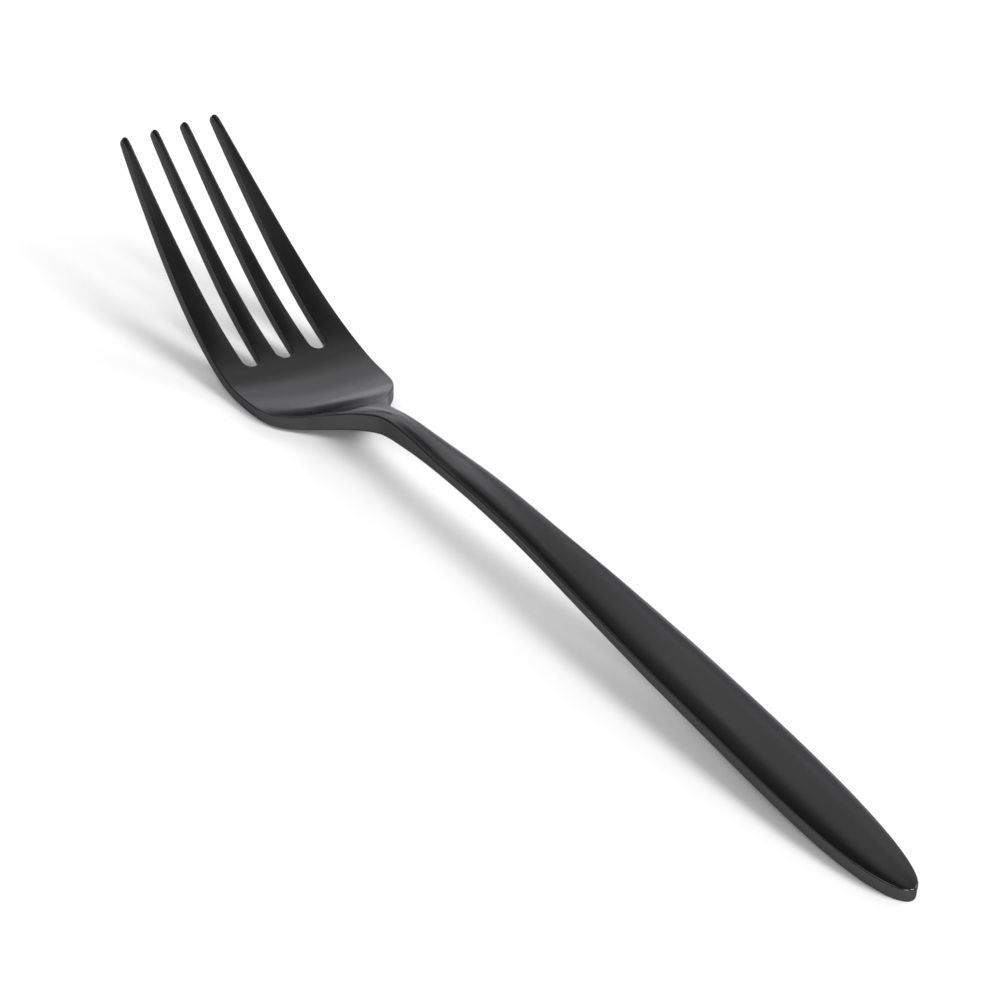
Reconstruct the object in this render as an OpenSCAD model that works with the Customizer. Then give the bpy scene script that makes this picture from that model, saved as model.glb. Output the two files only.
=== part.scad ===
// Dinner fork with four tines, lying tines up on its bowl and its handle end.
// Lengths are in millimetres and angles in degrees.
// +X runs from the handle end to the tine tips, +Y to the fork's left, +Z up.
// The origin is under the middle of the fork, on the table.
// The whole fork is a loft of cross-sections along one curved middle line.

/* [Handle] */
// Length of the handle, along the middle line
handle_len = 120; // [95:1:140]
// Width of the handle where it is widest
handle_w = 11.7; // [9:0.1:14]
// Thickness of the handle's edge at the free end
handle_end_t = 2.4; // [1.8:0.1:3.2]
// Thickness of the handle's edge over most of its length
handle_t = 2.2; // [1.5:0.1:2.6]
// Length over which the free end swells to full width
end_round_len = 40; // [20:1:45]
// How square the free end is, 2 for an ellipse and more for a blunter end
end_round_power = 3.2; // [2:0.1:4]
// Rise of the middle of the handle's top over its edges
handle_crown = 0.6; // [0.2:0.1:1]

/* [Neck] */
// Length of the neck, along the middle line
neck_len = 24; // [18:1:30]
// Width of the neck where it is narrowest
neck_w = 4.1; // [3.8:0.1:6]
// Width of the handle where it becomes the neck
waist_w = 5.9; // [4.8:0.1:7]
// Thickness of the edge at the handle's narrow end
waist_t = 1.9; // [1.5:0.1:2.4]
// Thickness of the neck's edge where it is narrowest
neck_t = 3.2; // [2.2:0.1:3.4]
// Rise of the middle of the neck's top over its edges
neck_crown = 0.5; // [0.2:0.1:0.8]

/* [Head] */
// Length from the neck to the ends of the slots, along the middle line
root_len = 25; // [20:0.5:30]
// How far each shoulder stands out past the head's width at the slots
shoulder_extra_w = 0.05; // [0:0.05:0.6]
// Thickness of the head's edge at the shoulders
shoulder_t = 2.7; // [2:0.1:3]
// Thickness of the head's edge under the bowl
bowl_t = 2; // [1.6:0.1:2.6]
// How far the bowl is hollowed below its rim
dish_depth = 0.5; // [0.2:0.1:0.9]
// How far the underside of the head bulges across its width
belly = 0.3; // [0.2:0.1:0.7]

/* [Tines] */
// Length of the tines from the ends of the slots, along the middle line
tine_len = 45; // [36:0.2:52]
// Thickness of the tines
tine_t = 1.5; // [1.1:0.1:1.8]
// Width of an inner tine where it leaves the head
inner_tine_w = 3.6; // [3:0.1:4.2]
// Width of an outer tine where it leaves the head
outer_tine_w = 5.1; // [4:0.1:5.6]
// Width of every tine just before its rounded tip
tip_w = 1.2; // [0.8:0.1:1.5]
// Width of a slot at its round end
slot_root_w = 2.9; // [2.4:0.1:3.8]
// Width of a slot at the tips
slot_tip_w = 4.6; // [4:0.1:5.4]
// Length of the rounding of a tip
tip_round = 0.9; // [0.5:0.1:1.4]
// Rise of the middle of a tine's top over its edges
tine_crown = 0.12; // [0:0.02:0.2]

/* [Edges] */
// Radius of the edges of the handle, neck and head
edge_round = 0.3; // [0.1:0.05:0.5]
// Radius of the edges of the tines
tine_round = 0.3; // [0.1:0.05:0.4]
// Depth of the flats under the bowl and the free end, on which the fork lies
land_depth = 0.12; // [0.06:0.02:0.2]

/* [Slope of the middle line] */
// Slope at the free end and at five places up to the neck
handle_angles = [2.9, 5, 4.1, 3.5, 1.4, -2.8]; // [-6:0.1:8]
// Slope at two places in the neck
neck_angles = [-6.2, -19.8]; // [-30:0.1:0]
// Slope from the neck, through the bottom of the bowl, to the slots
root_angles = [-22.8, -20.7, -9.3, -2.9, 4.5, 17.7]; // [-30:0.1:22]
// Slope at four places along the tines
tine_angles = [25.2, 31.5, 34.6, 36.5]; // [20:0.1:48]

/* [Hidden] */
coat_black = "#3b3b3d";

// Stations along the middle line, from the free end to the tips
neck_s = handle_len;
root_s = neck_s + neck_len;
slot_s = root_s + root_len;
fork_s = slot_s + slot_root_w / 2;
tip_s = slot_s + tine_len;

// Places of the angles, as shares of the length of each region
handle_angle_shares = [0, 0.17, 0.42, 0.67, 0.87, 1];
neck_angle_shares = [0.6, 0.9];
root_angle_shares = [0.08, 0.24, 0.4, 0.56, 0.76, 1];
tine_angle_shares = [0.18, 0.42, 0.69, 1];
angles_at = concat(
    region(0, handle_len, handle_angle_shares, handle_angles),
    region(neck_s, neck_len, neck_angle_shares, neck_angles),
    region(root_s, root_len, root_angle_shares, root_angles),
    region(slot_s, tine_len, tine_angle_shares, tine_angles)
);

// Half widths: the handle swells from the waist to its widest and back
half_w = handle_w / 2;
half_waist = waist_w / 2;
half_neck = neck_w / 2;
half_slots = inner_tine_w + outer_tine_w + slot_root_w * 3 / 2;
half_head = half_slots + shoulder_extra_w;
half_tips = tip_w * 2 + slot_tip_w * 3 / 2;
slot_r = slot_root_w / 2;
handle_w_shares = [0.32, 0.5, 0.67, 0.83, 1];
handle_swell_shares = [1, 0.89, 0.6, 0.23, 0];
neck_w_shares = [0.5, 0.75, 1];
neck_swell_shares = [0.19, 0, 1.32];
shoulder_at_shares = [0.08, 0.16, 0.24, 0.32, 0.4, 0.5, 0.62, 0.76, 0.9];
shoulder_swell_shares = [0.19, 0.305, 0.45, 0.63, 0.8, 0.915, 0.962, 0.985, 1];
half_at = concat(
    region(0, handle_len, handle_w_shares, mix(half_waist, half_w, handle_swell_shares)),
    region(neck_s, neck_len, neck_w_shares, mix(half_neck, half_waist, neck_swell_shares)),
    region(root_s, root_len, shoulder_at_shares, mix(half_neck, half_head, shoulder_swell_shares)),
    [[slot_s, half_slots]]
);

// Thickness of the edge
end_swell_share = 0.17;
waist_thin_share = 0.7;
neck_thick_share = 0.75;
shoulder_share = 0.16;
bowl_share = 0.48;
edge_at = [
    [0, handle_end_t],
    [handle_len * end_swell_share, handle_t],
    [handle_len * waist_thin_share, waist_t],
    [neck_s, waist_t],
    [neck_s + neck_len * neck_thick_share, neck_t],
    [root_s + root_len * shoulder_share, shoulder_t],
    [root_s + root_len * bowl_share, bowl_t],
    [slot_s, tine_t],
    [tip_s, tine_t]
];

// Rise of the top's middle over its edges, less than zero in the bowl
dish_share = 0.5;
slot_dish_share = 0.4;
rise_at = [
    [0, handle_crown],
    [handle_len * waist_thin_share, handle_crown],
    [neck_s, neck_crown],
    [root_s, neck_crown],
    [root_s + root_len * dish_share, -dish_depth],
    [slot_s, -dish_depth * slot_dish_share],
    [tip_s, 0]
];

// Bulge of the underside's middle below its edges
end_belly_share = 0.3;
slot_belly_share = 0.4;
belly_at = [
    [0, belly * end_belly_share],
    [neck_s, belly],
    [root_s + root_len * dish_share, belly],
    [slot_s, belly * slot_belly_share],
    [tip_s, 0]
];

// The top falls away near its edges: the power of its curve across
handle_power = 3.3;
head_power = 2;

// Counts of steps in the lofts
spine_steps = 420;
top_steps = 12;
under_steps = 14;
round_steps = 2;
tine_top_steps = 4;
tine_under_steps = 2;
cap_steps = 14;
handle_steps = 26;
neck_steps = 12;
root_steps = 26;
tine_steps = 18;
cut_faces = 48;
tip_steps = 5;

// How much the sides of the head bow out on their way to the tips
side_bow_share = 0.36;
// A rounded end keeps this share of its size at its last section
blunt_share = 0.3;
// Where a tine leaves the head, its inner edges start this sharp
start_round_share = 0.08;
// A slot's end is cut this many times as deep as the tines are thick
cut_times = 3;
// The crown of a tine is full after this share of its length
crown_grow_share = 0.2;

function region(start, length, shares, values) =
    [for (i = [0:len(shares) - 1]) [start + length * shares[i], values[i]]];
function mix(low, high, shares) = [for (f = shares) low + (high - low) * f];

// A smooth curve through the rows [place, value] of a table, with no overshoot
function rate(t, i) = (t[i + 1][1] - t[i][1]) / (t[i + 1][0] - t[i][0]);
function gap(t, i) = t[i + 1][0] - t[i][0];
function blend_rate(t, i) =
    let (a = 2 * gap(t, i) + gap(t, i - 1), b = gap(t, i) + 2 * gap(t, i - 1))
    (a + b) / (a / rate(t, i - 1) + b / rate(t, i));
function tangent(t, i) =
    i == 0 ? rate(t, 0) :
    i == len(t) - 1 ? rate(t, i - 1) :
    rate(t, i - 1) * rate(t, i) <= 0 ? 0 : blend_rate(t, i);
function row(t, s) = max([for (i = [0:len(t) - 2]) if (i == 0 || t[i][0] <= s) i]);
function smooth(t, s) =
    let (i = row(t, s), h = gap(t, i), f = min(max((s - t[i][0]) / h, 0), 1), g = 1 - f)
    t[i][1] * (1 + 2 * f) * g * g + t[i + 1][1] * (1 + 2 * g) * f * f
    + h * f * g * (g * tangent(t, i) - f * tangent(t, i + 1));

// The middle line: the angles are summed into places, and the fork is then
// tipped until its free end and its bowl touch the table together
step_len = tip_s / spine_steps;
line_angles = [for (i = [0:spine_steps]) smooth(angles_at, i * step_len)];
function walk(list) =
    [for (i = 0, p = [0, 0]; i <= spine_steps;
        p = p + (i < spine_steps ? (turn(list[i]) + turn(list[i + 1])) * step_len / 2 : [0, 0]),
        i = i + 1) p];
function turn(angle) = [cos(angle), sin(angle)];
function under(line, list, i) =
    line[i] - [-sin(list[i]), cos(list[i])] * depth(i * step_len);
function depth(s) = -under_z(s, 0) * thin_end(s);
bowl_from = floor(root_s / step_len);
end_until = floor(handle_len / 2 / step_len);
function lowest(points) = let (low = min([for (p = points) p[1]])) [for (p = points) if (p[1] == low) p][0];
function tip_angle(line, list) =
    let (
        a = lowest([for (i = [0:end_until]) under(line, list, i)]),
        b = lowest([for (i = [bowl_from:spine_steps]) under(line, list, i)])
    )
    atan2(b[1] - a[1], b[0] - a[0]);
first_line = walk(line_angles);
first_tip = tip_angle(first_line, line_angles);
tipped = [for (a = line_angles) a - first_tip];
second_line = walk(tipped);
second_tip = tip_angle(second_line, tipped);
rest_angles = [for (a = tipped) a - second_tip];
rest_line = walk(rest_angles);
floor_z = lowest([for (i = [0:spine_steps]) under(rest_line, rest_angles, i)])[1] + land_depth;
x_at = [for (i = [0:spine_steps]) [i * step_len, rest_line[i][0]]];
z_at = [for (i = [0:spine_steps]) [i * step_len, rest_line[i][1] - floor_z]];
angle_at = [for (i = [0:spine_steps]) [i * step_len, rest_angles[i]]];

// A point of a section at station s: across by p.x and out along the normal by
// p.y, and never below the table
function spot(s, p) =
    let (a = lookup(s, angle_at))
    [lookup(s, x_at) - sin(a) * p[1], p[0], max(lookup(s, z_at) + cos(a) * p[1], 0)];

// The origin is halfway between the free end and the tips
cap_stations = [for (i = [1:cap_steps]) end_round_len * pow(i / cap_steps, 3)];
tip_stations = [for (i = [1:tip_steps]) tip_s - tip_round * (1 - sin(90 * i / tip_steps))];
end_x = min([for (s = cap_stations) for (p = blade_section(s)) spot(s, p)[0]]);
tip_x = max([for (s = tip_stations) for (p = tine_section(1, s)) spot(s, p)[0]]);
mid_x = (end_x + tip_x) / 2;
function place(s, p) = spot(s, p) - [mid_x, 0, 0];

// Half width of the fork at a station
function end_swell(s) =
    sqrt(1 - pow(1 - min(s / end_round_len, 1), end_round_power));
function side_fall(f) = (1 - f) * (1 + side_bow_share * f);
function half_width(s) =
    s > slot_s ? half_tips + (half_slots - half_tips) * side_fall((s - slot_s) / tine_len) :
    smooth(half_at, max(s, handle_len * handle_w_shares[0])) * end_swell(s);

// Height of the top and underside at a place across the section
function power(s) = s < neck_s ? handle_power : head_power + (handle_power - head_power)
    * max(1 - (s - neck_s) / neck_len, 0);
function edge_r(s) = min(edge_round, half_width(s) * blunt_share);
function inside(s, y) = y == 0 ? 0 : min(abs(y) / (half_width(s) - edge_r(s)), 1);
function end_rise(s) = 1 - pow(1 - pow(end_swell(s), 2), handle_power / 2);
function top_z(s, y) =
    smooth(edge_at, s) / 2 + smooth(rise_at, s) * end_rise(s) * (1 - pow(inside(s, y), power(s)));
function under_z(s, y) =
    -smooth(edge_at, s) / 2 - smooth(belly_at, s) * end_rise(s) * (1 - pow(inside(s, y), head_power));

// One rounded corner of a section, from angle a
function corner(c, r, a) =
    [for (k = [0:round_steps]) c + r * [cos(a + 90 * k / round_steps), sin(a + 90 * k / round_steps)]];

// A section from side y0 to side y1, with corner radii r0 and r1, a crown of
// its own, and its thickness shrunk by the share thin
function section(s, y0, y1, r0, r1, crown, thin, tops, unders) =
    let (
        a = y0 + r0,
        b = y1 - r1,
        under_row = [for (k = [1:unders - 1]) a + (b - a) * k / unders],
        top_row = [for (k = [1:tops - 1]) b + (a - b) * k / tops]
    )
    concat(
        corner([b, under_z(s, b) * thin + r1], r1, -90),
        corner([b, top_z(s, b) * thin - r1], r1, 0),
        [for (y = top_row) [y, top_z(s, y) * thin + crown * bow(y, a, b)]],
        corner([a, top_z(s, a) * thin - r0], r0, 90),
        corner([a, under_z(s, a) * thin + r0], r0, 180),
        [for (y = under_row) [y, under_z(s, y) * thin]]
    );
function bow(y, a, b) = 1 - pow((2 * y - a - b) / (b - a), 2);

// A solid through sections that all have the same number of points
module loft(stations, sections) {
    rings = len(sections);
    n = len(sections[0]);
    points = [for (i = [0:rings - 1]) for (p = sections[i]) place(stations[i], p)];
    sides = [
        for (i = [0:rings - 2]) for (j = [0:n - 1])
            let (a = i * n + j, b = i * n + (j + 1) % n)
            each [[a, a + n, b], [b, a + n, b + n]]
    ];
    first = [[for (j = [0:n - 1]) j]];
    last = [[for (j = [n - 1:-1:0]) (rings - 1) * n + j]];
    polyhedron(points = points, faces = concat(sides, first, last), convexity = 6);
}

// The section of the handle, neck or head at a station
function thin_end(s) =
    let (e = max(1 - s / edge_round, 0))
    1 - (1 - sqrt(1 - e * e)) * 2 * edge_round / handle_end_t;
function blade_section(s) =
    let (w = half_width(s), r = edge_r(s))
    section(s, -w, w, r, r, 0, thin_end(s), top_steps, under_steps);

module blade(stations) {
    loft(stations, [for (s = stations) blade_section(s)]);
}

// Stations from a to b in n steps
function spread(a, b, n) = [for (i = [0:n]) a + (b - a) * i / n];

module handle() {
    color(coat_black)
        blade(concat(
            cap_stations,
            [for (s = spread(end_round_len, neck_s, handle_steps)) if (s > end_round_len) s]
        ));
}

module neck() {
    color(coat_black) blade(spread(neck_s, root_s, neck_steps));
}

// The slots: half their width and the place of the side slots' middle
function along(s) = (s - fork_s) / (tip_s - fork_s);
function slot_half(s) = (slot_root_w + (slot_tip_w - slot_root_w) * along(s)) / 2;
function side_slot(s) =
    let (a = inner_tine_w + slot_root_w, b = tip_w + slot_tip_w)
    a + (b - a) * along(s);

// The round end of a slot, cut square to the head
module slot_end(y) {
    translate(place(fork_s, [y, 0]))
        rotate([0, -lookup(fork_s, angle_at), 0])
            cylinder(h = tine_t * cut_times, r = slot_r, center = true, $fn = cut_faces);
}

module root() {
    color(coat_black) difference() {
        blade(spread(root_s, fork_s, root_steps));
        for (y = [-side_slot(fork_s), 0, side_slot(fork_s)]) slot_end(y);
    }
}

// The two sides of tine k, counted from the fork's right
function tine_low(k, s) =
    k == 1 ? -half_width(s) :
    k == 2 ? slot_half(s) - side_slot(s) :
    k == 3 ? slot_half(s) :
    side_slot(s) + slot_half(s);
function tine_high(k, s) = -tine_low(5 - k, s);

// The section of tine k at a station
function tine_section(k, s) =
    let (
        e = max((s - tip_s + tip_round) / tip_round, 0),
        small = blunt_share + (1 - blunt_share) * sqrt(max(1 - e * e, 0)),
        mid = (tine_low(k, s) + tine_high(k, s)) / 2,
        half = (tine_high(k, s) - tine_low(k, s)) / 2 * small,
        grown = min(start_round_share + (s - fork_s) / slot_r, 1),
        r = min(tine_round, half * (1 - blunt_share), tine_t / 2 * small * (1 - blunt_share)),
        crown = tine_crown * min((s - fork_s) / (tine_len * crown_grow_share), 1) * small
    )
    section(s, mid - half, mid + half, k == 1 ? r : r * grown, k == 4 ? r : r * grown,
        crown, small, tine_top_steps, tine_under_steps);

module tine(k) {
    stations = concat(
        [fork_s, fork_s + slot_r / 2],
        spread(fork_s + slot_r, tip_s - tip_round, tine_steps),
        tip_stations
    );
    loft(stations, [for (s = stations) tine_section(k, s)]);
}

module tine_1() {
    color(coat_black) tine(1);
}

module tine_2() {
    color(coat_black) tine(2);
}

module tine_3() {
    color(coat_black) tine(3);
}

module tine_4() {
    color(coat_black) tine(4);
}

handle();
neck();
root();
tine_1();
tine_2();
tine_3();
tine_4();
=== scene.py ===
import math

import bpy
import numpy as np
from mathutils import Matrix, Vector
from mathutils.geometry import delaunay_2d_cdt


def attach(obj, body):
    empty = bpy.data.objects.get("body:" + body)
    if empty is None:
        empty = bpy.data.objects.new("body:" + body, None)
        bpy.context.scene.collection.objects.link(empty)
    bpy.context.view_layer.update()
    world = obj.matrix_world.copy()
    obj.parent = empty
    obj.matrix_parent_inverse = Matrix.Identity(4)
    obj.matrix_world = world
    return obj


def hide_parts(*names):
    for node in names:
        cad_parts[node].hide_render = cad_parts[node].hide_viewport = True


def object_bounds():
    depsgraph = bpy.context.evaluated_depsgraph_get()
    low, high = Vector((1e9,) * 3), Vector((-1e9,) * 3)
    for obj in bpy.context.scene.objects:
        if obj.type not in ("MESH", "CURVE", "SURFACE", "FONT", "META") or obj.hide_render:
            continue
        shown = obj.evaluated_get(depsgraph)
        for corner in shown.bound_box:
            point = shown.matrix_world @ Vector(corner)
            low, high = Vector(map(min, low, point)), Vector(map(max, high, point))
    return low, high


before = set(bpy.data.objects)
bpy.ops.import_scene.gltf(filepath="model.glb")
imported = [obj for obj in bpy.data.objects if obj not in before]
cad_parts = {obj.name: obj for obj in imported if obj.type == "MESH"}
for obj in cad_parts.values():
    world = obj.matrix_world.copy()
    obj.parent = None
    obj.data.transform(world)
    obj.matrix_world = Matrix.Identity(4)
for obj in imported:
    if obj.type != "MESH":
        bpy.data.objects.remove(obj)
cad_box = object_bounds()

# The fork is worked out in millimetres along its curved middle line, with the
# same sizes as its source, and written to the meshes in metres.
MM = 0.001

HANDLE_LEN = 120.0
HANDLE_W = 11.7
HANDLE_END_T = 2.4
HANDLE_T = 2.2
END_ROUND_LEN = 40.0
END_ROUND_POWER = 3.2
HANDLE_CROWN = 0.6

NECK_LEN = 24.0
NECK_W = 4.1
WAIST_W = 5.9
WAIST_T = 1.9
NECK_T = 3.2
NECK_CROWN = 0.5

ROOT_LEN = 25.0
SHOULDER_EXTRA_W = 0.05
SHOULDER_T = 2.7
BOWL_T = 2.0
DISH_DEPTH = 0.5
BELLY = 0.3

TINE_LEN = 45.0
TINE_T = 1.5
INNER_TINE_W = 3.6
OUTER_TINE_W = 5.1
TIP_W = 1.2
SLOT_ROOT_W = 2.9
SLOT_TIP_W = 4.6
TIP_ROUND = 0.9
TINE_CROWN = 0.12
LAND_DEPTH = 0.12

# Finer than the solids: the rounding of every edge, and the thin ends of the tines
EDGE_ROUND = 0.28
TIP_EDGE_ROUND = 0.2
TIP_THIN_LEN = 3.0
TIP_THIN_SHARE = 0.3

HANDLE_ANGLES = [2.9, 5, 4.1, 3.5, 1.4, -2.8]
NECK_ANGLES = [-6.2, -19.8]
ROOT_ANGLES = [-22.8, -20.7, -9.3, -2.9, 4.5, 17.7]
TINE_ANGLES = [25.2, 31.5, 34.6, 36.5]

NECK_S = HANDLE_LEN
ROOT_S = NECK_S + NECK_LEN
SLOT_S = ROOT_S + ROOT_LEN
FORK_S = SLOT_S + SLOT_ROOT_W / 2
TIP_S = SLOT_S + TINE_LEN


def region(start, length, shares, values):
    """Rows (place, value) for shares of a stretch of the middle line."""
    return [(start + length * f, v) for f, v in zip(shares, values)]


def between(low, high, shares):
    return [low + (high - low) * f for f in shares]


# Places of the slopes, as shares of the length of each region
HANDLE_ANGLE_SHARES = [0, 0.17, 0.42, 0.67, 0.87, 1]
NECK_ANGLE_SHARES = [0.6, 0.9]
ROOT_ANGLE_SHARES = [0.08, 0.24, 0.4, 0.56, 0.76, 1]
TINE_ANGLE_SHARES = [0.18, 0.42, 0.69, 1]
ANGLE_ROWS = (
    region(0, HANDLE_LEN, HANDLE_ANGLE_SHARES, HANDLE_ANGLES)
    + region(NECK_S, NECK_LEN, NECK_ANGLE_SHARES, NECK_ANGLES)
    + region(ROOT_S, ROOT_LEN, ROOT_ANGLE_SHARES, ROOT_ANGLES)
    + region(SLOT_S, TINE_LEN, TINE_ANGLE_SHARES, TINE_ANGLES)
)

# Half widths: the handle swells from the waist to its widest and back, the neck
# narrows, and the shoulders open in a smooth curve
HANDLE_W_SHARES = [0.32, 0.5, 0.67, 0.83, 1]
HANDLE_SWELL_SHARES = [1, 0.89, 0.6, 0.23, 0]
NECK_W_SHARES = [0.5, 0.75, 1]
NECK_SWELL_SHARES = [0.19, 0, 1.32]
SHOULDER_AT_SHARES = [0.08, 0.16, 0.24, 0.32, 0.4, 0.5, 0.62, 0.76, 0.9]
SHOULDER_SWELL_SHARES = [0.19, 0.305, 0.45, 0.63, 0.8, 0.915, 0.962, 0.985, 1]
HALF_SLOTS = INNER_TINE_W + OUTER_TINE_W + SLOT_ROOT_W * 3 / 2
HALF_HEAD = HALF_SLOTS + SHOULDER_EXTRA_W
HALF_TIPS = TIP_W * 2 + SLOT_TIP_W * 3 / 2
SIDE_BOW = 0.36
HALF_ROWS = (
    region(0, HANDLE_LEN, HANDLE_W_SHARES,
           between(WAIST_W / 2, HANDLE_W / 2, HANDLE_SWELL_SHARES))
    + region(NECK_S, NECK_LEN, NECK_W_SHARES,
             between(NECK_W / 2, WAIST_W / 2, NECK_SWELL_SHARES))
    + region(ROOT_S, ROOT_LEN, SHOULDER_AT_SHARES,
             between(NECK_W / 2, HALF_HEAD, SHOULDER_SWELL_SHARES))
    + [(SLOT_S, HALF_SLOTS)]
)

# Thickness of the edge, rise of the top's middle over it, bulge of the underside
END_SWELL_SHARE = 0.17
WAIST_THIN_SHARE = 0.7
NECK_THICK_SHARE = 0.75
SHOULDER_SHARE = 0.16
BOWL_SHARE = 0.48
DISH_SHARE = 0.5
SLOT_DISH_SHARE = 0.4
END_BELLY_SHARE = 0.3
SLOT_BELLY_SHARE = 0.4
EDGE_ROWS = [
    (0, HANDLE_END_T),
    (HANDLE_LEN * END_SWELL_SHARE, HANDLE_T),
    (HANDLE_LEN * WAIST_THIN_SHARE, WAIST_T),
    (NECK_S, WAIST_T),
    (NECK_S + NECK_LEN * NECK_THICK_SHARE, NECK_T),
    (ROOT_S + ROOT_LEN * SHOULDER_SHARE, SHOULDER_T),
    (ROOT_S + ROOT_LEN * BOWL_SHARE, BOWL_T),
    (SLOT_S, TINE_T),
    (TIP_S, TINE_T),
]
RISE_ROWS = [
    (0, HANDLE_CROWN),
    (HANDLE_LEN * WAIST_THIN_SHARE, HANDLE_CROWN),
    (NECK_S, NECK_CROWN),
    (ROOT_S, NECK_CROWN),
    (ROOT_S + ROOT_LEN * DISH_SHARE, -DISH_DEPTH),
    (SLOT_S, -DISH_DEPTH * SLOT_DISH_SHARE),
    (TIP_S, 0),
]
BELLY_ROWS = [
    (0, BELLY * END_BELLY_SHARE),
    (NECK_S, BELLY),
    (ROOT_S + ROOT_LEN * DISH_SHARE, BELLY),
    (SLOT_S, BELLY * SLOT_BELLY_SHARE),
    (TIP_S, 0),
]

# The top falls away near its edges: the power of its curve across
HANDLE_POWER = 3.3
HEAD_POWER = 2.0
# The rounded edge takes at most this share of a narrow end's half width
BLUNT_SHARE = 0.3
# The curves across go on a little past the edges, for the normals there
PAST_EDGE = 1.15
PAST_TINE = 1.05
# The crown of a tine is full after this share of its length
CROWN_GROW_SHARE = 0.2
# Small enough to stand for nothing where a width is divided by
TINY = 1e-6


def smooth(rows, s):
    """A smooth curve through rows (place, value), with no overshoot."""
    place, value = np.array(rows, float).T
    run = np.diff(place)
    rate = np.diff(value) / run
    a = 2 * run[1:] + run[:-1]
    b = run[1:] + 2 * run[:-1]
    same_way = rate[:-1] * rate[1:] > 0
    near = np.where(same_way, rate[:-1], 1)
    far = np.where(same_way, rate[1:], 1)
    inner = np.where(same_way, (a + b) / (a / near + b / far), 0)
    slope = np.concatenate([rate[:1], inner, rate[-1:]])
    i = np.clip(np.searchsorted(place, s, side="right") - 1, 0, len(run) - 1)
    f = np.clip((s - place[i]) / run[i], 0, 1)
    g = 1 - f
    return (value[i] * (1 + 2 * f) * g * g + value[i + 1] * (1 + 2 * g) * f * f
            + run[i] * f * g * (g * slope[i] - f * slope[i + 1]))


# --- Half widths and heights of the section ------------------------------------

def end_swell(s):
    return np.sqrt(1 - (1 - np.clip(s / END_ROUND_LEN, 0, 1)) ** END_ROUND_POWER)


def half_width(s):
    """Half width of the whole fork at station s."""
    f = np.clip((s - SLOT_S) / TINE_LEN, 0, 1)
    tines = HALF_TIPS + (HALF_SLOTS - HALF_TIPS) * (1 - f) * (1 + SIDE_BOW * f)
    widest_s = HANDLE_LEN * HANDLE_W_SHARES[0]
    blade = smooth(HALF_ROWS, np.maximum(s, widest_s)) * end_swell(s)
    return np.where(s > SLOT_S, tines, blade)


def along(s):
    return (s - FORK_S) / (TIP_S - FORK_S)


def slot_half(s):
    return (SLOT_ROOT_W + (SLOT_TIP_W - SLOT_ROOT_W) * along(s)) / 2


def side_slot(s):
    """How far the middle of a side slot is from the middle of the fork."""
    a = INNER_TINE_W + SLOT_ROOT_W
    b = TIP_W + SLOT_TIP_W
    return a + (b - a) * along(s)


def tine_sides(k, s):
    """The right and left sides of tine k, counted from the fork's right."""
    lows = {1: lambda s: -half_width(s), 2: lambda s: slot_half(s) - side_slot(s),
            3: slot_half, 4: lambda s: side_slot(s) + slot_half(s)}
    return lows[k](s), -lows[5 - k](s)


def inside(s, y):
    """Zero on the middle line, one where the edge starts to round over."""
    room = np.maximum(half_width(s) - EDGE_ROUND, half_width(s) * (1 - BLUNT_SHARE))
    return np.where(y == 0, 0, np.abs(y) / np.maximum(room, TINY))


def end_rise(s):
    return 1 - (1 - end_swell(s) ** 2) ** (HANDLE_POWER / 2)


def top_power(s):
    f = np.clip(1 - (s - NECK_S) / NECK_LEN, 0, 1)
    return HEAD_POWER + (HANDLE_POWER - HEAD_POWER) * f


def tip_thin(s):
    """The tines thin out towards their points."""
    e = np.clip((s - TIP_S + TIP_THIN_LEN) / TIP_THIN_LEN, 0, 1)
    return 1 - TIP_THIN_SHARE * e * e


def tine_bow(s, y):
    """The slight crown of each tine, grown from where it leaves the head."""
    grown = np.clip((s - FORK_S) / (TINE_LEN * CROWN_GROW_SHARE), 0, 1)
    bow = np.zeros_like(s)
    for k in (1, 2, 3, 4):
        low, high = tine_sides(k, s)
        u = (2 * y - low - high) / np.maximum(high - low, TINY)
        bow = np.where(np.abs(u) < PAST_TINE, 1 - u * u, bow)
    return TINE_CROWN * grown * bow


def top_height(s, y):
    across = 1 - np.minimum(inside(s, y), PAST_EDGE) ** top_power(s)
    rise = smooth(RISE_ROWS, s) * end_rise(s) * across
    return (smooth(EDGE_ROWS, s) / 2 + rise) * tip_thin(s) + tine_bow(s, y)


def under_height(s, y):
    across = 1 - np.minimum(inside(s, y), PAST_EDGE) ** HEAD_POWER
    bulge = smooth(BELLY_ROWS, s) * end_rise(s) * across
    return -(smooth(EDGE_ROWS, s) / 2 + bulge) * tip_thin(s)


# --- The middle line, tipped until the free end and the bowl touch the table ----

LINE_STEPS = 1710
TIP_ROUNDS = 2
END_CLEAR = 0.5
line_s = np.linspace(0, TIP_S, LINE_STEPS + 1)


def walk(angles):
    """Places along a line of these angles, which are in radians."""
    step = TIP_S / LINE_STEPS
    turns = np.stack([np.cos(angles), np.sin(angles)], 1)
    steps = (turns[1:] + turns[:-1]) * step / 2
    return np.concatenate([[[0, 0]], np.cumsum(steps, 0)])


def underside(angles):
    depth = under_height(line_s, np.zeros_like(line_s))
    return walk(angles) + np.stack([-np.sin(angles), np.cos(angles)], 1) * depth[:, None]


line_angle = np.radians(smooth(ANGLE_ROWS, line_s))
end_part = (line_s > END_CLEAR) & (line_s < HANDLE_LEN / 2)
for _ in range(TIP_ROUNDS):
    low = underside(line_angle)
    a = low[end_part][np.argmin(low[end_part, 1])]
    b = low[line_s > ROOT_S][np.argmin(low[line_s > ROOT_S, 1])]
    line_angle = line_angle - math.atan2(b[1] - a[1], b[0] - a[0])
floor_z = underside(line_angle)[:, 1].min() + LAND_DEPTH
line_xz = walk(line_angle) - np.array([0, floor_z])


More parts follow.
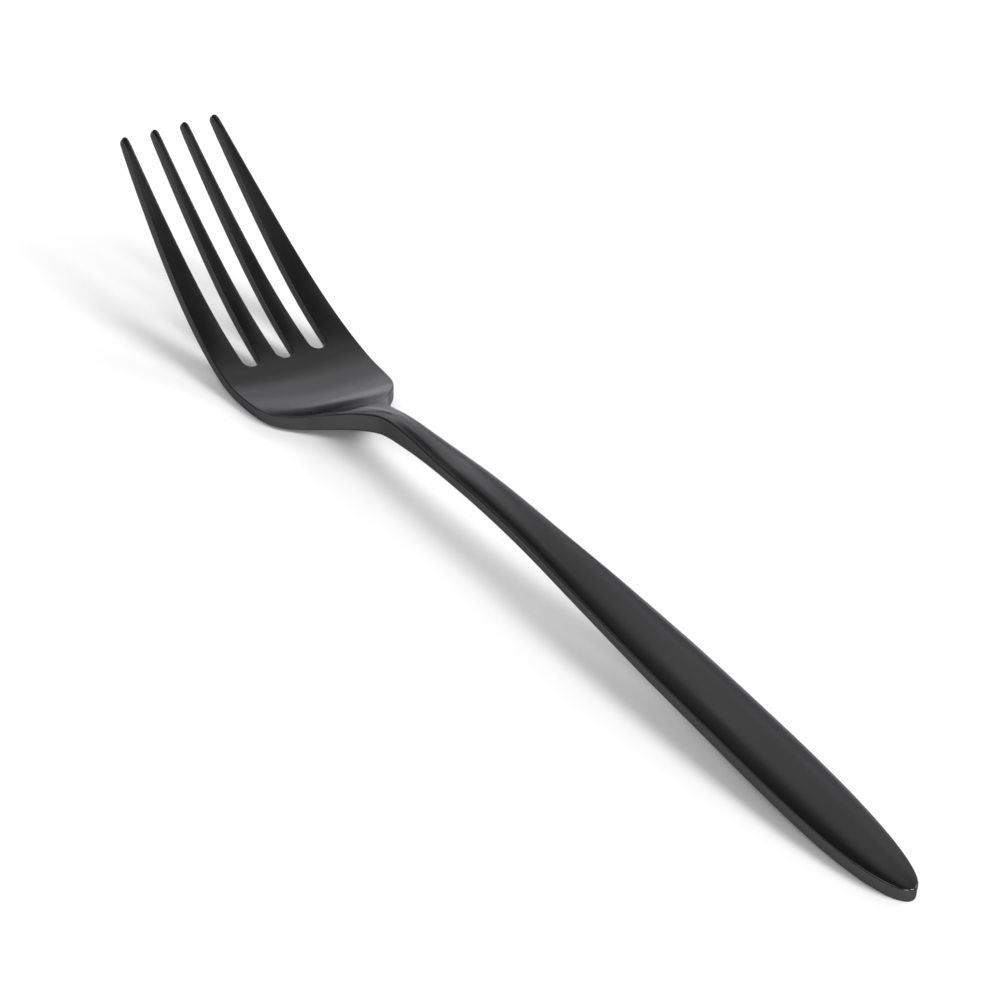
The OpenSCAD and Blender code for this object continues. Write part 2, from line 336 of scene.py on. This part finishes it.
def lift(s, y, height):
    """The point at station s, y to the left and height out along the normal."""
    a = np.interp(s, line_s, line_angle)
    x = np.interp(s, line_s, line_xz[:, 0]) - np.sin(a) * height
    z = np.interp(s, line_s, line_xz[:, 1]) + np.cos(a) * height
    return np.stack([x, y, z], -1)


# --- The outline of the flat fork, then its rounded edge and its inner mesh -----

# Steps of the mesh in millimetres: along the sides, the tines, the round ends of
# the slots and the points, and inside
SIDE_STEP = 0.45
TINE_STEP = 0.35
SLOT_STEP = 0.16
TIP_STEP = 0.09
MESH_STEP = 0.62
ROUND_STEPS = 5
# Inner points keep this share of a step clear of the rounded edge
CLEAR_SHARE = 0.6
# Points tried on a curve before it is cut into equal steps
CURVE_TRIES = 900
# The inner points are sifted in this many blocks, to save memory
GRID_BLOCKS = 40
# Points closer than this, in millimetres, are taken as one
WELD = 1e-7


def evenly(points, step):
    """The same path in equal steps, without its last point."""
    points = np.array(points, float)
    run = np.concatenate([[0], np.cumsum(np.linalg.norm(np.diff(points, axis=0), axis=1))])
    n = max(int(math.ceil(run[-1] / step)), 2)
    t = np.linspace(0, run[-1], n + 1)[:-1]
    return np.stack([np.interp(t, run, points[:, 0]), np.interp(t, run, points[:, 1])], 1)


def side_path(side, a, b, step):
    """The fork's outer side from station a to b; side is -1 right or 1 left."""
    f = np.linspace(0, 1, CURVE_TRIES)
    s = a + (b - a) * (f ** 3 if a == 0 else 1 - (1 - f) ** 3 if b == 0 else f)
    return evenly(np.stack([s, side * half_width(s)], 1), step)


def tine_path(k, which, a, b):
    s = np.linspace(a, b, CURVE_TRIES)
    return evenly(np.stack([s, tine_sides(k, s)[which]], 1), TINE_STEP)


def tip_path(k):
    """Round the point of tine k, from its right side to its left."""
    t = np.linspace(-math.pi / 2, math.pi / 2, CURVE_TRIES)
    s = TIP_S - TIP_ROUND * (1 - np.cos(t))
    low, high = tine_sides(k, s)
    return evenly(np.stack([s, (low + high) / 2 + (high - low) / 2 * np.sin(t)], 1), TIP_STEP)


def slot_path(k):
    """Round the end of the slot left of tine k."""
    t = np.linspace(0, math.pi, CURVE_TRIES)
    start = tine_sides(k, np.array(FORK_S))[1]
    r = SLOT_ROOT_W / 2
    return evenly(np.stack([FORK_S - r * np.sin(t), start + r - r * np.cos(t)], 1), SLOT_STEP)


def outline():
    """The whole outline, starting at the middle of the free end and going
    round by the right, and the indices where the cuts between regions start."""
    round_s = TIP_S - TIP_ROUND
    right = [side_path(-1, 0, NECK_S, SIDE_STEP), side_path(-1, NECK_S, ROOT_S, SIDE_STEP),
             side_path(-1, ROOT_S, FORK_S, SIDE_STEP), side_path(-1, FORK_S, round_s, TINE_STEP)]
    left = [side_path(1, round_s, FORK_S, TINE_STEP), side_path(1, FORK_S, ROOT_S, SIDE_STEP),
            side_path(1, ROOT_S, NECK_S, SIDE_STEP), side_path(1, NECK_S, 0, SIDE_STEP)]
    middle = []
    for k in (1, 2, 3):
        middle += [tip_path(k), tine_path(k, 1, round_s, FORK_S), slot_path(k),
                   tine_path(k + 1, 0, FORK_S, round_s)]
    middle.append(tip_path(4))
    parts = right + middle + left
    starts = np.cumsum([0] + [len(p) for p in parts])
    corners = [int(starts[i]) for i in range(len(parts))]
    cut_neck = (corners[1], corners[len(parts) - 1])
    cut_root = (corners[2], corners[len(parts) - 2])
    fork_cuts = [corners[3]]
    for k in range(3):
        fork_cuts += [corners[4 + 4 * k + 2], corners[4 + 4 * k + 3]]
    fork_cuts.append(corners[len(parts) - 3])
    return np.concatenate(parts), cut_neck, cut_root, fork_cuts


loop, neck_cut, root_cut, fork_cuts = outline()
loop_n = len(loop)
ahead = np.roll(loop, -1, 0) - np.roll(loop, 1, 0)
ahead /= np.linalg.norm(ahead, axis=1)[:, None]
outward = np.stack([ahead[:, 1], -ahead[:, 0]], 1)
tip_share = np.clip((loop[:, 0] - TIP_S + TIP_THIN_LEN) / TIP_THIN_LEN, 0, 1)
loop_round = EDGE_ROUND + (TIP_EDGE_ROUND - EDGE_ROUND) * tip_share

phi = np.linspace(0, math.pi / 2, ROUND_STEPS + 1)
rings = [loop - outward * (loop_round * (1 - math.cos(p)))[:, None] for p in phi]
inner = rings[-1]


def cut_points(pair, start, end):
    """Points straight across the metal between two points of the inner ring."""
    n = max(int(round(abs(end[1] - start[1]) / MESH_STEP)), 1)
    return [start + (end - start) * i / n for i in range(1, n)]


def inner_mesh():
    """Points and triangles inside the inner ring."""
    points = [tuple(p) for p in inner]
    edges = []
    cuts = [neck_cut, root_cut] + [(fork_cuts[i], fork_cuts[i + 1]) for i in (0, 2, 4, 6)]
    for i, j in cuts:
        chain = [i]
        for p in cut_points((i, j), inner[i], inner[j]):
            points.append(tuple(p))
            chain.append(len(points) - 1)
        chain.append(j)
        edges += list(zip(chain[:-1], chain[1:]))
    row = MESH_STEP * math.sqrt(3) / 2
    grid = []
    for i in range(int(TIP_S / row) + 1):
        s = i * row
        half = float(half_width(np.array(s)))
        n = int(half / MESH_STEP) + 1
        for j in range(-n, n + 1):
            grid.append((s, (j + 0.5 * (i % 2)) * MESH_STEP))
    grid = np.array(grid)
    ring = np.array(points)
    keep = []
    for block in np.array_split(grid, GRID_BLOCKS):
        d = block[:, None, :] - ring[None, :, :]
        near = (d ** 2).sum(2)
        i = near.argmin(1)
        close = np.sqrt(near[np.arange(len(block)), i])
        j = np.where(i < loop_n, i, 0)
        depth = -((block - inner[j]) * outward[j]).sum(1)
        keep.append((close > MESH_STEP * CLEAR_SHARE) & ((depth > 0) | (i >= loop_n)))
    grid = grid[np.concatenate(keep)]
    points += [tuple(p) for p in grid]
    whole = [list(range(loop_n))]
    got = delaunay_2d_cdt([Vector(p) for p in points], edges, whole, 1, WELD)
    verts = np.array([tuple(v) for v in got[0]])
    place = {old: new for new, olds in enumerate(got[3]) for old in olds}
    return verts, np.array([tuple(f) for f in got[2]]), place


flat_points, flat_tris, place = inner_mesh()
base = ROUND_STEPS * loop_n


def plan_index(ring, j):
    """Index of ring vertex j among all points of the flat fork."""
    return np.array([base + place[i] for i in j]) if ring == ROUND_STEPS else ring * loop_n + j


# All points of the flat fork: the rings of the rounded edge, then the inside
plan = np.concatenate(rings[:-1] + [flat_points])
round_share = np.ones(len(plan))
round_r = np.zeros(len(plan))
side_out = np.zeros((len(plan), 2))
for ring in range(ROUND_STEPS + 1):
    at = plan_index(ring, np.arange(loop_n))
    round_share[at] = math.sin(phi[ring])
    round_r[at] = loop_round
    side_out[at] = outward

# Faces of the flat fork, and the region that each belongs to
loop_region = np.full(loop_n, "root", dtype=object)
loop_region[:neck_cut[0]] = "handle"
loop_region[neck_cut[1]:] = "handle"
loop_region[neck_cut[0]:root_cut[0]] = "neck"
loop_region[root_cut[1]:neck_cut[1]] = "neck"
for k in range(4):
    loop_region[fork_cuts[2 * k]:fork_cuts[2 * k + 1]] = f"tine_{k + 1}"

here = np.arange(loop_n)
after = (here + 1) % loop_n
faces = []
face_region = []
for ring in range(ROUND_STEPS):
    quads = np.stack([plan_index(ring, here), plan_index(ring, after),
                      plan_index(ring + 1, after), plan_index(ring + 1, here)], 1)
    faces += quads.tolist()
    face_region += loop_region.tolist()
middle_of = flat_points[flat_tris].mean(1)
fork_line = np.interp(middle_of[:, 1], inner[fork_cuts, 1], inner[fork_cuts, 0])
past_slot = side_slot(np.maximum(middle_of[:, 0], FORK_S))
which_tine = 1 + sum((middle_of[:, 1] > c * past_slot).astype(int) for c in (-1, 0, 1))
for tri, mid, line, k in zip(flat_tris + base, middle_of, fork_line, which_tine):
    faces.append(tri.tolist())
    face_region.append(
        "handle" if mid[0] < inner[neck_cut[0], 0] else
        "neck" if mid[0] < inner[root_cut[0], 0] else
        "root" if mid[0] < line else f"tine_{k}")

# Places and normals on the top and on the underside. A normal is measured over
# this many millimetres to each side.
PROBE = 0.01
plan_s = np.clip(plan[:, 0], 0, TIP_S)
plan_y = plan[:, 1]
drop = round_r * (1 - round_share)


def sheet(height, s, y):
    return lift(s, y, height(s, y))


def sheet_normal(height):
    along_s = (sheet(height, np.minimum(plan_s + PROBE, TIP_S), plan_y)
               - sheet(height, np.maximum(plan_s - PROBE, 0), plan_y))
    along_y = sheet(height, plan_s, plan_y + PROBE) - sheet(height, plan_s, plan_y - PROBE)
    n = np.cross(along_s, along_y)
    return n / np.linalg.norm(n, axis=1)[:, None]


line_a = np.interp(plan_s, line_s, line_angle)
line_up = np.stack([-np.sin(line_a), 0 * line_a, np.cos(line_a)], 1)
line_ahead = np.stack([np.cos(line_a), 0 * line_a, np.sin(line_a)], 1)
side_normal = line_ahead * side_out[:, :1] + np.array([0, 1, 0]) * side_out[:, 1:]


def rounded(normal):
    """Normals that turn from the sheet's to the side's over the rounded edge."""
    steep = np.sqrt(1 - round_share ** 2)[:, None]
    flat = normal / np.abs((normal * line_up).sum(1))[:, None]
    n = steep * side_normal + round_share[:, None] * flat
    return n / np.linalg.norm(n, axis=1)[:, None]


top = lift(plan_s, plan_y, top_height(plan_s, plan_y) - drop)
under = lift(plan_s, plan_y, under_height(plan_s, plan_y) + drop)
top_normal = rounded(sheet_normal(top_height))
under_normal = rounded(-sheet_normal(under_height))
first_x = min(top[:, 0].min(), under[:, 0].min())
last_x = max(top[:, 0].max(), under[:, 0].max())
mid_x = (first_x + last_x) / 2
top[:, 0] -= mid_x
under[:, 0] -= mid_x
under_normal[under[:, 2] < 0] = (0, 0, -1)
low, high = (np.array(corner) / MM for corner in cad_box)
top = np.clip(top, low, high)
under = np.clip(under, low, high)


# --- One closed piece for each region -------------------------------------------

def make_piece(name):
    """A closed mesh: the top, the underside, and walls round its border."""
    mine = [f for f, r in zip(faces, face_region) if r == name]
    used = sorted({v for f in mine for v in f})
    number = {v: i for i, v in enumerate(used)}
    n = len(used)
    border = {}
    for f in mine:
        for u, v in zip(f, f[1:] + f[:1]):
            if (v, u) in border:
                del border[(v, u)]
            else:
                border[(u, v)] = True
    polys, normals = [], []
    for f in mine:
        polys.append([number[v] for v in f])
        normals += [top_normal[v] for v in f]
        polys.append([number[v] + n for v in reversed(f)])
        normals += [under_normal[v] for v in reversed(f)]
    for u, v in border:
        polys.append([number[u] + n, number[v] + n, number[v], number[u]])
        if u < loop_n and v < loop_n:
            normals += [side_normal[u], side_normal[v], side_normal[v], side_normal[u]]
        else:
            across = np.cross(top[v] - top[u], line_up[u])
            normals += [across / np.linalg.norm(across)] * 4
    mesh = bpy.data.meshes.new(name)
    points = np.concatenate([top[used], under[used]]) * MM
    mesh.from_pydata(points.tolist(), [], polys)
    mesh.polygons.foreach_set("use_smooth", [True] * len(polys))
    mesh.normals_split_custom_set([tuple(v) for v in normals])
    piece = bpy.data.objects.new(name, mesh)
    bpy.context.scene.collection.objects.link(piece)
    return piece


# --- Finishes ----------------------------------------------------------------------

def srgb(text):
    """An sRGB hex colour as linear values with full opacity."""
    parts = [int(text[i:i + 2], 16) / 255 for i in (1, 3, 5)]
    return [v / 12.92 if v <= 0.04045 else ((v + 0.055) / 1.055) ** 2.4 for v in parts] + [1.0]


def add(tree, kind, links=None, sockets=None, **settings):
    """Adds a node with its settings, fixed socket values and links."""
    node = tree.nodes.new(kind)
    for key, value in settings.items():
        setattr(node, key, value)
    for key, value in (sockets or {}).items():
        node.inputs[key].default_value = value
    for key, source in (links or {}).items():
        tree.links.new(source, node.inputs[key])
    return node


def new_material(name):
    material = bpy.data.materials.new(name)
    material.use_nodes = True
    material.node_tree.nodes.clear()
    return material, material.node_tree


# Millimetres: the dimples of the blast, drawn three times as coarse as real so
# that they show, and the clouds in which the blast is a little finer or coarser
GRIT_W = 0.16
GRIT_H = 0.004
CLOUD_W = 9
# Roughness of the coat in the finest and in the coarsest clouds
FINE_ROUGH = 0.2
COARSE_ROUGH = 0.24
# Millimetres: the faint grain of the table's laminate
GRAIN_W = 2
GRAIN_H = 0.01


def black_pvd_steel():
    """Stainless steel with a thin black coat laid on in a vacuum (PVD), over a
    fine satin blast. The blast spreads reflections softly, and the black coat
    stays dark at low angles, where bare steel would turn bright."""
    material, tree = new_material("black_pvd_coated_stainless_steel")
    where = add(tree, "ShaderNodeTexCoord").outputs["Object"]
    grit = add(tree, "ShaderNodeTexNoise", {"Vector": where},
               {"Scale": 1 / (GRIT_W * MM), "Detail": 2.0, "Roughness": 0.6})
    cloud = add(tree, "ShaderNodeTexNoise", {"Vector": where},
                {"Scale": 1 / (CLOUD_W * MM), "Detail": 3.0, "Roughness": 0.55})
    rough = add(tree, "ShaderNodeMapRange", {"Value": cloud.outputs["Fac"]},
                {"From Min": 0.3, "From Max": 0.7,
                 "To Min": FINE_ROUGH, "To Max": COARSE_ROUGH})
    bump = add(tree, "ShaderNodeBump", {"Height": grit.outputs["Fac"]},
               {"Strength": 0.25, "Distance": GRIT_H * MM})
    coat = add(tree, "ShaderNodeBsdfPrincipled",
               {"Roughness": rough.outputs["Result"], "Normal": bump.outputs["Normal"]},
               {"Base Color": srgb("#474748"), "Metallic": 1.0,
                "Specular Tint": srgb("#bcbcbd")})
    add(tree, "ShaderNodeOutputMaterial", {"Surface": coat.outputs["BSDF"]})
    return material


def white_table():
    """Matt white laminate: even, pale, with a faint grain."""
    material, tree = new_material("matt_white_laminate")
    where = add(tree, "ShaderNodeTexCoord").outputs["Object"]
    grain = add(tree, "ShaderNodeTexNoise", {"Vector": where},
                {"Scale": 1 / (GRAIN_W * MM), "Detail": 2.0})
    bump = add(tree, "ShaderNodeBump", {"Height": grain.outputs["Fac"]},
               {"Strength": 0.05, "Distance": GRAIN_H * MM})
    face = add(tree, "ShaderNodeBsdfPrincipled", {"Normal": bump.outputs["Normal"]},
               {"Base Color": srgb("#f2f2f2"), "Roughness": 0.9, "Specular IOR Level": 0.2})
    add(tree, "ShaderNodeOutputMaterial", {"Surface": face.outputs["BSDF"]})
    return material


coat = black_pvd_steel()
for name in ("handle", "neck", "root", "tine_1", "tine_2", "tine_3", "tine_4"):
    piece = make_piece(name)
    piece.name = "coated_" + name
    piece.data.materials.append(coat)
    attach(piece, "root")
    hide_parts(name)

# --- Table, lights and camera -------------------------------------------------------

TABLE_HALF = 1.6
table_mesh = bpy.data.meshes.new("table")
corners = ((-1, -1), (1, -1), (1, 1), (-1, 1))
table_points = [(x * TABLE_HALF, y * TABLE_HALF, 0) for x, y in corners]
table_mesh.from_pydata(table_points, [], [(0, 1, 2, 3)])
table = bpy.data.objects.new("table", table_mesh)
bpy.context.scene.collection.objects.link(table)
table.data.materials.append(white_table())


def softbox(name, azimuth, elevation, distance, side, power, target):
    """A square soft light aimed at a point. Azimuth turns from +X to +Y."""
    light = bpy.data.lights.new(name, "AREA")
    light.shape = "SQUARE"
    light.size, light.energy = side, power
    a, e = math.radians(azimuth), math.radians(elevation)
    toward = Vector((math.cos(a) * math.cos(e), math.sin(a) * math.cos(e), math.sin(e)))
    box = bpy.data.objects.new(name, light)
    box.matrix_world = (Matrix.Translation(Vector(target) + toward * distance)
                        @ toward.to_track_quat("Z", "Y").to_matrix().to_4x4())
    bpy.context.scene.collection.objects.link(box)


# A ring of big softboxes stands round the table, the strongest behind the
# handle on the right, and a few small ones stand close beyond the fork's bowl.
# Each has its azimuth and elevation in degrees and its power in watts. A big
# box's side, in metres, goes with its elevation.
FAR_AWAY = 1.5
FAR_SIDES = {26: 0.6, 44: 0.7, 65: 0.8}
FAR_BOXES = {
    "behind_right_high": (-150, 44, 18.0),
    "behind_left": (150, 26, 8.98),
    "right": (-90, 26, 8.05),
    "left_high": (90, 44, 2.71),
    "ahead": (0, 26, 2.17),
    "behind_top": (-180, 65, 0.96),
    "left_ahead": (60, 26, 0.91),
    "right_ahead": (-60, 26, 0.84),
    "ahead_left": (30, 26, 0.44),
    "ahead_left_high": (30, 44, 0.38),
    "right_ahead_high": (-60, 44, 0.26),
    "ahead_right_high": (-30, 44, 0.26),
}
NEAR_AWAY = 0.35
NEAR_SIDE = 0.1
BOWL_AT = (0.057, -0.001, 0)
NEAR_BOXES = {
    "near_side_low": (-70, 8, 0.12),
    "near_low": (-35, 8, 0.112),
    "near_tips_low": (-20, 8, 0.102),
    "near_middle": (-35, 20, 0.068),
    "near_right_low": (-50, 8, 0.058),
    "near_tips_high": (-20, 33, 0.056),
    "near_high": (-35, 33, 0.036),
    "near_right_middle": (-50, 20, 0.0245),
    "near_right_high": (-50, 33, 0.0175),
    "near_side_top": (-70, 48, 0.015),
    "near_top": (-35, 48, 0.0093),
    "near_right_top": (-50, 48, 0.009),
}
for name, (azimuth, elevation, power) in FAR_BOXES.items():
    softbox(name, azimuth, elevation, FAR_AWAY, FAR_SIDES[elevation], power, (0, 0, 0))
for name, (azimuth, elevation, power) in NEAR_BOXES.items():
    softbox(name, azimuth, elevation, NEAR_AWAY, NEAR_SIDE, power, BOWL_AT)

# The faint even light that the white room gives from all round
ROOM_LIGHT = 0.12
world = bpy.data.worlds.new("studio")
world.use_nodes = True
room = world.node_tree.nodes["Background"]
room.inputs["Color"].default_value = srgb("#ffffff")
room.inputs["Strength"].default_value = ROOM_LIGHT
bpy.context.scene.world = world

# The camera looks over the handle's end from the left. Its place is in metres,
# its angles are in radians, and its focus is a multiple of the sensor's width.
CAMERA_AT = (-0.915327, 0.734551, 0.737172)
CAMERA_AZIMUTH = -0.6733112
CAMERA_DOWN = 0.5536849
CAMERA_ROLL = 0.1154547
CAMERA_FOCUS = 8.855756
SENSOR = 36.0
turn, down, roll = CAMERA_AZIMUTH, CAMERA_DOWN, CAMERA_ROLL
level = Vector((math.cos(turn), math.sin(turn), 0))
upright = Vector((0, 0, 1))
forward = level * math.cos(down) - upright * math.sin(down)
flat_right = Vector((math.sin(turn), -math.cos(turn), 0))
flat_up = level * math.sin(down) + upright * math.cos(down)
right = flat_right * math.cos(roll) + flat_up * math.sin(roll)
up = flat_up * math.cos(roll) - flat_right * math.sin(roll)
camera_data = bpy.data.cameras.new("camera")
camera_data.sensor_width = SENSOR
camera_data.lens = SENSOR * CAMERA_FOCUS
camera_data.clip_end = 10
camera = bpy.data.objects.new("camera", camera_data)
camera.matrix_world = (Matrix.Translation(CAMERA_AT)
                       @ Matrix((right, up, -forward)).transposed().to_4x4())
bpy.context.scene.collection.objects.link(camera)
bpy.context.scene.camera = camera
bpy.context.scene.view_settings.view_transform = "Standard"
